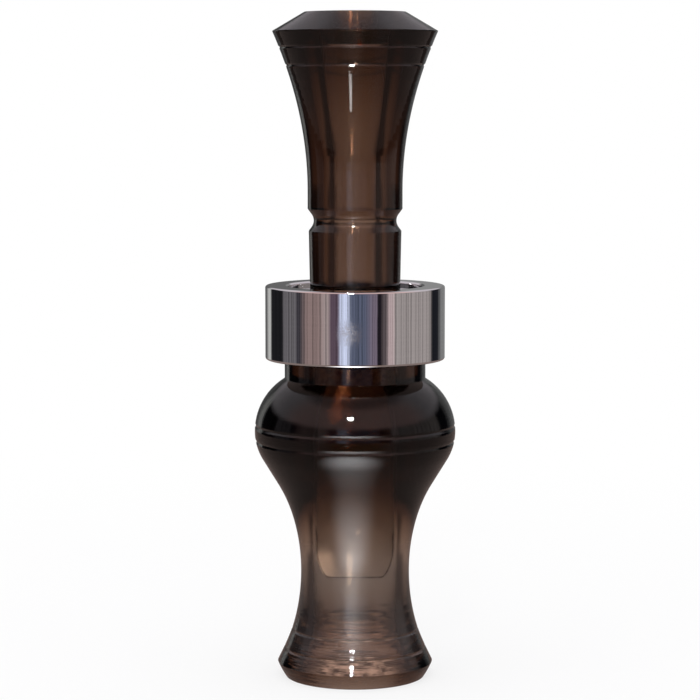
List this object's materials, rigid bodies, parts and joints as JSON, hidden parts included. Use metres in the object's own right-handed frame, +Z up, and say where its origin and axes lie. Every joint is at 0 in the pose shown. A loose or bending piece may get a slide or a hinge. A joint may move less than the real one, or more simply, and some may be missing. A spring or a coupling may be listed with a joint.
{
  "type": "duck call",
  "caption": "Turned duck call: smoke acrylic barrel with a metal band, and a pull-out insert with tone board, reeds, cork wedge and sealing rings.",
  "frame": {"origin": "middle of the ring that the mouthpiece's lip stands on", "axes": "+Z up the bore from the mouthpiece to the crown of the insert, -Y the side that the reeds lie on, +X to the right seen from that side"},
  "size_m": [0.0378, 0.0376, 0.1247],
  "materials": {
    "smoke_acrylic": "polished clear acrylic, tinted smoke brown",
    "polished_band": "mirror polished, fine turning marks",
    "ring_rubber": "smooth black nitrile",
    "cork": "composition cork, sanded",
    "reed_film": "frosted polyester film"
  },
  "bodies": {
    "barrel": {"barrel": "smoke_acrylic", "band": "polished_band"},
    "seals": {"rear_o_ring": "ring_rubber", "front_o_ring": "ring_rubber"},
    "insert": {"insert": "smoke_acrylic", "cork_wedge": "cork"},
    "reeds": {"long_reed": "reed_film", "short_reed": "reed_film"}
  },
  "joints": [
    {"name": "insert_pull", "type": "slide", "parent": "barrel", "child": "seals", "axis": [0, 0, 1], "range_m": [0, 0.06]},
    {"name": "insert_turn", "type": "hinge", "parent": "seals", "child": "insert", "pos_m": [0, 0, 0.0732], "axis": [0, 0, 1], "continuous": true},
    {"name": "reed_flex", "type": "hinge", "parent": "insert", "child": "reeds", "pos_m": [0, -0.0008, 0.051], "axis": [1, 0, 0], "range_deg": [-1.5, 2.4], "stiffness_Nm_per_rad": 0.02, "deforming": ["long_reed", "short_reed"]}
  ]
}
